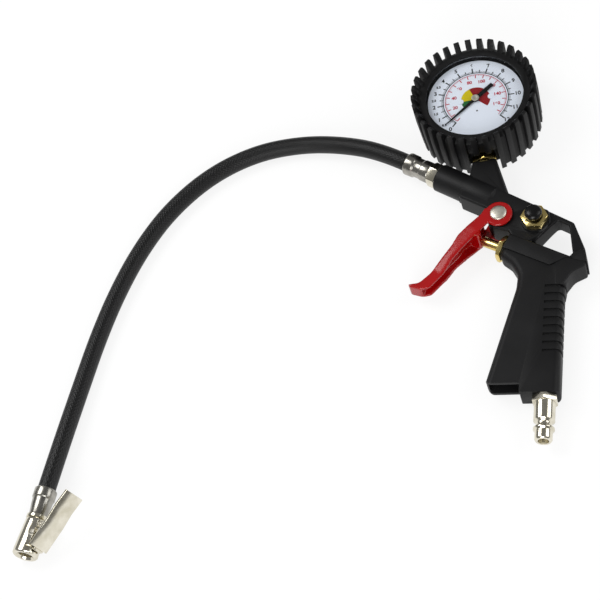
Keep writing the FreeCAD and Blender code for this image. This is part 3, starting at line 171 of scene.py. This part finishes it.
def powder_coated_zinc():
    """Die-cast zinc under black powder coat: satin, with the coat's fine orange peel."""
    material, tree = new_material("powder_coated_zinc")
    place = add(tree, "ShaderNodeTexCoord").outputs["Object"]
    peel = add(tree, "ShaderNodeTexNoise", Vector=place, Scale=1400.0, Detail=3.0)
    cloud = add(tree, "ShaderNodeTexNoise", Vector=place, Scale=90.0, Detail=2.0)
    tone = two_tones(tree, cloud.outputs["Fac"], "#0c0c0d", "#121213", 0.35, 0.7)
    gloss = add(tree, "ShaderNodeMapRange", Value=peel.outputs["Fac"], To_Min=0.42, To_Max=0.56)
    bump = add(tree, "ShaderNodeBump", Height=peel.outputs["Fac"], Strength=0.35, Distance=0.00006)
    close(tree, add(tree, "ShaderNodeBsdfPrincipled", Base_Color=tone, IOR=1.33,
                    Roughness=gloss.outputs["Result"], Normal=bump.outputs["Normal"]))
    return material


def moulded_nylon():
    """Glass-filled nylon moulded against spark-eroded steel: dark satin with a fine even grain."""
    material, tree = new_material("moulded_nylon")
    place = add(tree, "ShaderNodeTexCoord").outputs["Object"]
    grain = add(tree, "ShaderNodeTexNoise", Vector=place, Scale=2200.0, Detail=4.0, Roughness=0.6)
    flow = add(tree, "ShaderNodeTexNoise", Vector=place, Scale=60.0, Detail=2.0)
    tone = two_tones(tree, flow.outputs["Fac"], "#0d0d0e", "#131314", 0.3, 0.75)
    gloss = add(tree, "ShaderNodeMapRange", Value=grain.outputs["Fac"], To_Min=0.46, To_Max=0.62)
    bump = add(tree, "ShaderNodeBump", Height=grain.outputs["Fac"], Strength=0.4, Distance=0.00005)
    close(tree, add(tree, "ShaderNodeBsdfPrincipled", Base_Color=tone, IOR=1.33,
                    Roughness=gloss.outputs["Result"], Normal=bump.outputs["Normal"]))
    return material


def red_lacquered_steel():
    """Pressed steel under red stoving enamel: deep, glossy, slightly wavy."""
    material, tree = new_material("red_lacquered_steel")
    place = add(tree, "ShaderNodeTexCoord").outputs["Object"]
    wave = add(tree, "ShaderNodeTexNoise", Vector=place, Scale=120.0, Detail=1.0)
    cloud = add(tree, "ShaderNodeTexNoise", Vector=place, Scale=45.0, Detail=1.0)
    tone = two_tones(tree, cloud.outputs["Fac"], "#8d0204", "#9c0406")
    bump = add(tree, "ShaderNodeBump", Height=wave.outputs["Fac"], Strength=0.15, Distance=0.00008)
    close(tree, add(tree, "ShaderNodeBsdfPrincipled", Base_Color=tone, IOR=1.4,
                    Roughness=0.22, Coat_Weight=0.3, Coat_Roughness=0.05,
                    Normal=bump.outputs["Normal"]))
    return material


def metal(name, dark, light, rough, bump_distance, streak):
    """Bare or plated metal with faint machining streaks and a tone that drifts."""
    material, tree = new_material(name)
    place = add(tree, "ShaderNodeTexCoord").outputs["Object"]
    spread = add(tree, "ShaderNodeMapping", Vector=place, Scale=streak)
    lines = add(tree, "ShaderNodeTexNoise", Vector=spread.outputs["Vector"], Scale=1.0, Detail=3.0)
    cloud = add(tree, "ShaderNodeTexNoise", Vector=place, Scale=150.0, Detail=2.0)
    tone = two_tones(tree, cloud.outputs["Fac"], dark, light)
    gloss = add(tree, "ShaderNodeMapRange", Value=lines.outputs["Fac"], To_Min=rough * 0.75,
                To_Max=rough * 1.3)
    bump = add(tree, "ShaderNodeBump", Height=lines.outputs["Fac"], Strength=0.3,
               Distance=bump_distance)
    close(tree, add(tree, "ShaderNodeBsdfPrincipled", Base_Color=tone, Metallic=1.0,
                    Roughness=gloss.outputs["Result"], Normal=bump.outputs["Normal"]))
    return material


def rubber(name, dark, light, rough, grain):
    """Moulded rubber: dull black with a dusty bloom and a leathery skin."""
    material, tree = new_material(name)
    place = add(tree, "ShaderNodeTexCoord").outputs["Object"]
    skin = add(tree, "ShaderNodeTexNoise", Vector=place, Scale=grain, Detail=4.0)
    bloom = add(tree, "ShaderNodeTexNoise", Vector=place, Scale=110.0, Detail=3.0)
    tone = two_tones(tree, bloom.outputs["Fac"], dark, light, 0.35, 0.7)
    gloss = add(tree, "ShaderNodeMapRange", Value=skin.outputs["Fac"], To_Min=rough - 0.07,
                To_Max=rough + 0.1)
    bump = add(tree, "ShaderNodeBump", Height=skin.outputs["Fac"], Strength=0.4, Distance=0.00008)
    close(tree, add(tree, "ShaderNodeBsdfPrincipled", Base_Color=tone, IOR=1.36,
                    Roughness=gloss.outputs["Result"], Normal=bump.outputs["Normal"]))
    return material


def braided_hose_rubber():
    """Black hose whose textile plies show through its cover as a fine crossed pattern."""
    material, tree = new_material("braided_hose_rubber")
    uv = add(tree, "ShaderNodeTexCoord").outputs["UV"]
    parts = add(tree, "ShaderNodeSeparateXYZ", Vector=uv)
    plies_along, plies_round = 164.0, 18.0  # every 2.2 mm along the hose, eighteen times round it
    along = add(tree, "ShaderNodeMath", {"operation": "MULTIPLY"}, i0=parts.outputs["X"],
                i1=2 * math.pi * plies_along)
    right = add(tree, "ShaderNodeMath", {"operation": "MULTIPLY_ADD"}, i0=parts.outputs["Y"],
                i1=2 * math.pi * plies_round, i2=along.outputs["Value"])
    left = add(tree, "ShaderNodeMath", {"operation": "MULTIPLY_ADD"}, i0=parts.outputs["Y"],
               i1=-2 * math.pi * plies_round, i2=along.outputs["Value"])
    one = add(tree, "ShaderNodeMath", {"operation": "SINE"}, i0=right.outputs["Value"])
    two = add(tree, "ShaderNodeMath", {"operation": "SINE"}, i0=left.outputs["Value"])
    ply = add(tree, "ShaderNodeMath", {"operation": "MAXIMUM"}, i0=one.outputs["Value"],
              i1=two.outputs["Value"])
    tone = two_tones(tree, ply.outputs["Value"], "#040404", "#0f0f10", 0.0, 1.0)
    bump = add(tree, "ShaderNodeBump", Height=ply.outputs["Value"], Strength=0.5, Distance=0.00012)
    close(tree, add(tree, "ShaderNodeBsdfPrincipled", Base_Color=tone, IOR=1.4,
                    Roughness=0.42, Normal=bump.outputs["Normal"]))
    return material


def printed_card(name, code, rough=0.5):
    """Ink or enamel on the dial: flat colour with the print's slight mottling."""
    material, tree = new_material(name)
    place = add(tree, "ShaderNodeTexCoord").outputs["Object"]
    dust = add(tree, "ShaderNodeTexNoise", Vector=place, Scale=900.0, Detail=2.0)
    low, high = linear(code), tuple(min(1.0, c * 1.06 + 0.004) for c in linear(code)[:3]) + (1.0,)
    tone = add(tree, "ShaderNodeValToRGB", Fac=dust.outputs["Fac"])
    tone.color_ramp.elements[0].color = low
    tone.color_ramp.elements[1].color = high
    close(tree, add(tree, "ShaderNodeBsdfPrincipled", Base_Color=tone.outputs["Color"],
                    Roughness=rough, IOR=1.15))
    return material


def clear_window():
    """Clear polycarbonate: seen through, with a soft reflection that grows towards its edge."""
    material, tree = new_material("clear_window")
    edge = add(tree, "ShaderNodeFresnel", IOR=1.45)
    clear = add(tree, "ShaderNodeBsdfTransparent", Color=(0.97, 0.98, 0.98, 1.0))
    sheen = add(tree, "ShaderNodeBsdfGlossy", Color=(1.0, 1.0, 1.0, 1.0), Roughness=0.18)
    share = add(tree, "ShaderNodeMath", {"operation": "MULTIPLY"}, i0=edge.outputs["Fac"], i1=0.3)
    mixed = add(tree, "ShaderNodeMixShader", i0=share.outputs["Value"], i1=clear.outputs["BSDF"],
                i2=sheen.outputs["BSDF"])
    add(tree, "ShaderNodeOutputMaterial", Surface=mixed.outputs["Shader"])
    return material


casting = powder_coated_zinc()
nylon = moulded_nylon()
lacquer = red_lacquered_steel()
# turned brass, a little tarnished: warm, soft streaks round the bar
brass = metal("turned_brass", "#dcc06c", "#efdb98", 0.2, 0.00003, (300.0, 300.0, 2500.0))
# nickel on brass: bright with a warm cast
nickel = metal("nickel_plate", "#cfc9b6", "#e6e1d2", 0.16, 0.00002, (250.0, 250.0, 2000.0))
# zinc-plated steel sleeve: greyer and duller, drawn along its length
zinc = metal("zinc_plated_sleeve", "#8b8983", "#aeaba3", 0.24, 0.00003, (1500.0, 300.0, 1500.0))
# bare steel rivet, tumbled
steel = metal("tumbled_steel", "#dfdacb", "#f2eee2", 0.42, 0.00003, (900.0, 900.0, 900.0))
boot_rubber = rubber("moulded_boot_rubber", "#040405", "#080809", 0.55, 1500.0)
seal_rubber = rubber("nitrile_seal", "#101010", "#1a1a1a", 0.45, 2500.0)
hose_rubber = braided_hose_rubber()
cap_plastic = rubber("glossy_cap_plastic", "#060606", "#0b0b0c", 0.26, 3000.0)
window = clear_window()
dial_white = printed_card("white_dial_enamel", "#e4e7f2", 0.6)
ink_black = printed_card("black_dial_ink", "#0b0b0d")
ink_red = printed_card("red_dial_ink", "#b5233c")
sector_red = printed_card("red_sector_ink", "#8a141b")
sector_yellow = printed_card("yellow_sector_ink", "#cdb810")
sector_green = printed_card("green_sector_ink", "#1f6332")
case_enamel = printed_card("black_case_enamel", "#1b1b1c", 0.35)


# ---- modelling helpers -------------------------------------------------------------------------
def only(obj):
    """Makes obj the one selected and active object."""
    bpy.ops.object.select_all(action="DESELECT")
    obj.select_set(True)
    bpy.context.view_layer.objects.active = obj


def settle(obj, name, body, slot, material, *nodes):
    """Names a finished piece, gives it its material, and hangs it on its body."""
    obj.name = name
    obj.data.name = name
    only(obj)
    bpy.ops.object.transform_apply(location=True, rotation=True, scale=True)
    obj.data.materials.clear()
    obj.data.materials.append(material)
    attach(obj, body)
    if nodes:
        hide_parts(*nodes)
    return obj


def smooth(obj, angle=32.0):
    """Shades obj smooth except across edges sharper than the angle."""
    only(obj)
    bpy.ops.object.shade_smooth_by_angle(angle=math.radians(angle))


def round_edges(obj, width, segments=2, angle=32.0):
    """Breaks the sharp edges with a small rounding, in millimetres."""
    only(obj)
    bevel = obj.modifiers.new("edges", "BEVEL")
    bevel.width = width * MM
    bevel.segments = segments
    bevel.limit_method = "ANGLE"
    bevel.angle_limit = math.radians(angle)
    bpy.ops.object.modifier_apply(modifier=bevel.name)
    smooth(obj)


def copies_round(obj, angles):
    """Copies of obj turned round the gauge's axis by each angle, joined into one mesh with it."""
    others = []
    for angle in angles:
        other = obj.copy()
        other.data = obj.data.copy()
        scene.collection.objects.link(other)
        other.data.transform(round_axis(angle))
        others.append(other)
    only(obj)
    for other in others:
        other.select_set(True)
    bpy.ops.object.join()
    return obj


def soften(obj, grain, passes):
    """Rounds every edge as a thick coat does: an even skin of the given grain, smoothed."""
    only(obj)
    skin = obj.modifiers.new("skin", "REMESH")
    skin.mode = "VOXEL"
    skin.voxel_size = grain * MM
    bpy.ops.object.modifier_apply(modifier=skin.name)
    flow = obj.modifiers.new("flow", "SMOOTH")
    flow.factor = 0.5
    flow.iterations = passes
    bpy.ops.object.modifier_apply(modifier=flow.name)
    bpy.ops.object.shade_smooth()


def round_axis(angle):
    """Matrix that turns a point round the gauge's axis by an angle in degrees."""
    axis = Matrix.Translation((GAUGE.x, GAUGE.y, 0))
    return axis @ Matrix.Rotation(math.radians(angle), 4, "Z") @ axis.inverted()


def machined(node, name, body, slot, material, width, angle=32.0, coat=0):
    """Copy of a CAD piece with its edges broken, or softened by a coat, which stands for it."""
    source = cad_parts[node]
    obj = source.copy()
    obj.data = source.data.copy()
    obj.parent = None
    scene.collection.objects.link(obj)
    only(obj)
    bpy.ops.mesh.customdata_custom_splitnormals_clear()
    bpy.ops.object.mode_set(mode="EDIT")
    bpy.ops.mesh.select_all(action="SELECT")
    bpy.ops.mesh.remove_doubles(threshold=0.000002)
    bpy.ops.mesh.dissolve_limited(angle_limit=math.radians(0.5))
    bpy.ops.object.mode_set(mode="OBJECT")
    if coat:
        soften(obj, width, coat)
    elif width:
        round_edges(obj, width, 2, angle)
    else:
        smooth(obj)
    return settle(obj, name, body, slot, material, node)


# ---- gun ---------------------------------------------------------------------------------------
machined("gun_body", "cast_body", "gun", "casting", casting, 0.25, 40.0)
machined("handle_grip", "grip", "gun", "grip", nylon, 0.2, 40.0)
machined("trigger_lever", "squeeze_lever", "trigger", "lever", lacquer, 0.4, coat=24)
machined("lever_pin", "lever_rivet", "gun", "steel", steel, 0.25)
machined("valve_collar", "valve_nut", "gun", "brass", brass, 0.15)
machined("valve_pin", "push_pin", "valve", "brass", brass, 0.15)
machined("bleed_nut", "bleed_hexagon", "gun", "brass", brass, 0.2)
machined("bleed_button", "bleed_cap", "bleed", "cap", cap_plastic, 0.35)
machined("inlet_nipple", "inlet_plug", "gun", "nickel", nickel, 0.2)
machined("gauge_socket", "gauge_hexagon", "gun", "brass", brass, 0.2)
machined("hose_fitting", "hose_nut", "gun", "nickel", nickel, 0.2)
machined("gun_ferrule", "gun_sleeve", "gun", "ferrule", zinc, 0.3)

# ---- chuck -------------------------------------------------------------------------------------
chuck_pieces = [
    machined("chuck_ferrule", "chuck_sleeve", "gun", "ferrule", zinc, 0.3),
    machined("chuck_tail", "chuck_ring", "gun", "nickel", nickel, 0.2),
    machined("chuck_body", "chuck_shell", "gun", "nickel", nickel, 0.3, 40.0),
    machined("chuck_lever", "chuck_clip", "clip", "nickel", nickel, 0.3, 40.0),
    machined("chuck_hinge_pin", "chuck_rivet", "gun", "steel", steel, 0.15),
]


# ---- springs -----------------------------------------------------------------------------------
def spring(node):
    """Wire spring, copied from its CAD piece onto a mesh of its own."""
    obj = machined(node, node + "_wire", "gun", "spring_steel", steel, 0.0)
    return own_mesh(obj)


spring("valve_spring")
spring("bleed_spring")
chuck_pieces.append(spring("chuck_spring"))

# ---- boot --------------------------------------------------------------------------------------
machined("rubber_boot", "tread_boot", "gun", "boot", boot_rubber, 0.35, 25.0)


# ---- dial --------------------------------------------------------------------------------------
def strip(inner, outer, start, sweep, steps):
    """Printed ring sector round the gauge's axis, in millimetres and degrees."""
    bpy.ops.mesh.primitive_plane_add(size=1.0)
    obj = bpy.context.object
    height = DIAL_FACE + PRINT * MM
    ends = [round_gauge(start, inner, height), round_gauge(start, outer, height)]
    bpy.ops.object.mode_set(mode="EDIT")
    bpy.ops.mesh.select_mode(type="VERT")
    bpy.ops.mesh.select_all(action="DESELECT")
    bpy.ops.object.mode_set(mode="OBJECT")
    for vertex in obj.data.vertices:
        vertex.co = ends[vertex.index % 2]
        vertex.select = vertex.index > 1
    bpy.ops.object.mode_set(mode="EDIT")
    bpy.ops.mesh.delete(type="VERT")
    bpy.ops.mesh.select_all(action="SELECT")
    bpy.ops.mesh.spin(steps=steps, angle=-math.radians(sweep), center=(GAUGE.x, GAUGE.y, height),
                      axis=(0, 0, 1), use_auto_merge=False)
    bpy.ops.mesh.select_all(action="SELECT")
    bpy.ops.mesh.remove_doubles(threshold=0.0000005)
    bpy.ops.mesh.normals_make_consistent(inside=False)
    bpy.ops.object.mode_set(mode="OBJECT")
    if obj.data.polygons[0].normal.z < 0:
        bpy.ops.object.mode_set(mode="EDIT")
        bpy.ops.mesh.flip_normals()
        bpy.ops.object.mode_set(mode="OBJECT")
    return obj


def ticks(name, angles, inner, outer, width, material):
    """Printed strokes of the scale at the given angles."""
    middle = (inner + outer) / 2
    bpy.ops.mesh.primitive_plane_add(size=1.0)
    stroke = bpy.context.object
    for vertex in stroke.data.vertices:
        vertex.co = Vector((GAUGE.x + (middle + vertex.co.x * (outer - inner)) * MM,
                            GAUGE.y + vertex.co.y * width * MM, DIAL_FACE + PRINT * MM))
    start = angles[0]
    stroke.data.transform(round_axis(start))
    copies_round(stroke, [a - start for a in angles[1:]])
    return settle(stroke, name, "gun", "dial", material)


def numbers(name, words, size, material):
    """Printed figures, each upright on the dial: (text, angle, radius)."""
    made = []
    for text, angle, radius in words:
        spot = round_gauge(angle, radius, DIAL_FACE + PRINT * MM)
        bpy.ops.object.text_add(location=spot, rotation=(0, 0, math.radians(DIAL_UP - 90)))
        figure = bpy.context.object
        figure.data.body = text
        figure.data.size = size * MM
        figure.data.offset = 0.12 * MM
        figure.data.align_x = "CENTER"
        figure.data.align_y = "CENTER"
        only(figure)
        bpy.ops.object.convert(target="MESH")
        bpy.ops.object.transform_apply(location=True, rotation=True, scale=True)
        made.append(figure)
    only(made[0])
    for figure in made[1:]:
        figure.select_set(True)
    bpy.ops.object.join()
    return settle(made[0], name, "gun", "dial", material)


def bar_angle(bar):
    """Direction of a pressure on the scale."""
    return ZERO - PER_BAR * bar


def psi_angle(psi):
    return bar_angle(psi / PSI_PER_BAR)


def print_dial():
    """Scale in bar outside, in psi inside, coloured sectors in the middle."""
    bar_line, psi_line = 19.5, 18.4         # radii that the strokes of each scale start from
    halves = [k * 0.5 for k in range(2 * FULL_SCALE + 1)]
    tenths = [k * 0.1 for k in range(10 * FULL_SCALE + 1) if k % 5]
    bars = [bar_angle(b) for b in range(FULL_SCALE + 1)]
    ticks("bar_strokes", bars, bar_line, 23.2, 0.75, ink_black)
    ticks("half_bar_strokes", [bar_angle(b) for b in halves if b % 1], bar_line, 21.8, 0.55,
          ink_black)
    ticks("tenth_bar_strokes", [bar_angle(b) for b in tenths], bar_line, 20.9, 0.28, ink_black)
    ticks("psi_strokes", [psi_angle(10 * k) for k in range(18)], 15.8, psi_line, 0.6, ink_red)
    ticks("small_psi_strokes", [psi_angle(2 * k) for k in range(86) if k % 5], 17.3, psi_line, 0.2,
          ink_red)
    whole = PER_BAR * FULL_SCALE
    full = bar_angle(FULL_SCALE)
    settle(strip(19.3, 19.75, full, whole, 96), "bar_arc", "gun", "dial", ink_black)
    settle(strip(18.2, 18.55, full, whole, 96), "psi_arc", "gun", "dial", ink_red)
    low = [("%g" % b, bar_angle(b), 25.2) for b in halves if b <= 4]
    high = [(str(b), bar_angle(b), 25.2) for b in range(5, FULL_SCALE + 1)]
    numbers("bar_figures", low[::2] + high, 3.7, ink_black)
    numbers("half_bar_figures", low[1::2], 2.2, ink_black)
    psi = [(str(p), psi_angle(p), 13.2) for p in range(20, 161, 20)]
    numbers("psi_figures", psi, 3.0, ink_red)
    ticks("dial_dot", [DIAL_UP + 180], 8.0, 9.0, 1.0, ink_black)
    # each sector ends where the next begins: colour, first direction, degrees, steps of its arc
    for colour, start, sweep, steps, ink in (("green", 190, 35, 12, sector_green),
                                             ("yellow", 120, 70, 24, sector_yellow),
                                             ("red", -35, 155, 48, sector_red)):
        settle(strip(1.2, 8.8, start, sweep, steps), colour + "_sector", "gun", "dial", ink)


machined("gauge_dial", "dial_plate", "gun", "dial", dial_white, 0.0)
print_dial()
machined("gauge_pointer", "dial_pointer", "pointer", "pointer", ink_black, 0.08)


def pointer_hub():
    """Bright turned cap over the pointer's boss."""
    boss_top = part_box("gauge_pointer")[1].z
    bpy.ops.mesh.primitive_cylinder_add(vertices=48, radius=2.3 * MM, depth=0.24 * MM,
                                        location=(GAUGE.x, GAUGE.y, boss_top + 0.13 * MM))
    hub = bpy.context.object
    bpy.ops.object.mode_set(mode="EDIT")
    bpy.ops.mesh.select_all(action="DESELECT")
    bpy.ops.object.mode_set(mode="OBJECT")
    for face in hub.data.polygons:
        face.select = face.normal.z > 0.9
    bpy.ops.object.mode_set(mode="EDIT")
    bpy.ops.mesh.inset(thickness=0.9 * MM)
    bpy.ops.mesh.inset(thickness=0.3 * MM, depth=-0.1 * MM)
    bpy.ops.object.mode_set(mode="OBJECT")
    round_edges(hub, 0.06, 2)
    settle(hub, "pointer_cap", "pointer", "steel", steel)


pointer_hub()

# ---- pieces whose CAD shape stays --------------------------------------------------------------
FINISH = {
    "air_tube": zinc, "inlet_bush": brass, "valve_seat": brass, "pin_seal": seal_rubber,
    "poppet_washer": seal_rubber, "valve_poppet": brass, "bleed_stem": brass,
    "bleed_washer": seal_rubber, "gauge_case": case_enamel, "gauge_bezel": case_enamel,
    "gauge_window": window, "dial_screws": dial_white, "bourdon_tube": brass,
    "bourdon_tip": brass, "pinion_arbor": brass, "sector_gear": brass, "movement_back_plate": brass,
    "movement_front_plate": brass, "hairspring": brass, "chuck_seal": seal_rubber,
    "chuck_core_pin": brass,
}
for name, material in FINISH.items():
    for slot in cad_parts[name].material_slots:
        slot.material = material

# ---- hose, hung on its body --------------------------------------------------------------------
hose.data.materials.append(hose_rubber)
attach(hose, "gun")
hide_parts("hose")


# ---- studio ------------------------------------------------------------------------------------
def white_floor():
    """Pale floor that reads as white to the camera and in reflections, and keeps a soft shadow."""
    bpy.ops.mesh.primitive_plane_add(size=6.0, location=(0, 0, -0.0003))
    floor = bpy.context.object
    floor.name = "studio_floor"
    material, tree = new_material("white_floor")
    rays = add(tree, "ShaderNodeLightPath")
    seen = add(tree, "ShaderNodeMath", {"operation": "MAXIMUM"}, i0=rays.outputs["Is Camera Ray"],
               i1=rays.outputs["Is Glossy Ray"])
    share = add(tree, "ShaderNodeMath", {"operation": "MULTIPLY"}, i0=seen.outputs["Value"],
                i1=0.82)
    paint = add(tree, "ShaderNodeBsdfDiffuse", Color=(0.9, 0.9, 0.9, 1.0))
    glow = add(tree, "ShaderNodeEmission", Color=(1.0, 1.0, 1.0, 1.0), Strength=1.0)
    mixed = add(tree, "ShaderNodeMixShader", i0=share.outputs["Value"], i1=paint.outputs["BSDF"],
                i2=glow.outputs["Emission"])
    add(tree, "ShaderNodeOutputMaterial", Surface=mixed.outputs["Shader"])
    floor.data.materials.append(material)


def studio_world():
    """White behind the object, soft daylight on it, and a dimmer room in its reflections."""
    world = bpy.data.worlds.new("studio")
    world.use_nodes = True
    world.node_tree.nodes.clear()
    tree = world.node_tree
    rays = add(tree, "ShaderNodeLightPath")
    lit = add(tree, "ShaderNodeMapRange", Value=rays.outputs["Is Glossy Ray"],
              To_Min=0.55, To_Max=0.22)
    strength = add(tree, "ShaderNodeMath", {"operation": "MAXIMUM"},
                   i0=rays.outputs["Is Camera Ray"], i1=lit.outputs["Result"])
    sky = add(tree, "ShaderNodeBackground", Color=(1.0, 1.0, 1.0, 1.0),
              Strength=strength.outputs["Value"])
    add(tree, "ShaderNodeOutputWorld", Surface=sky.outputs["Background"])
    scene.world = world


def lamp(name, spot, target, size, power):
    """Square soft light at a point, aimed at another."""
    data = bpy.data.lights.new(name, "AREA")
    data.shape = "SQUARE"
    data.size = size
    data.energy = power
    obj = bpy.data.objects.new(name, data)
    scene.collection.objects.link(obj)
    obj.location = spot
    obj.rotation_euler = (Vector(target) - Vector(spot)).to_track_quat("-Z", "Y").to_euler()


white_floor()
studio_world()
middle = at(-60.0, -110.0, 10.0)
lamp("key_softbox", (-0.75, 0.25, 0.95), middle, 0.6, 6.0)
lamp("fill_softbox", (0.85, 0.1, 0.6), middle, 0.6, 3.0)
lamp("front_softbox", (-0.1, -1.1, 0.6), middle, 0.6, 8.0)
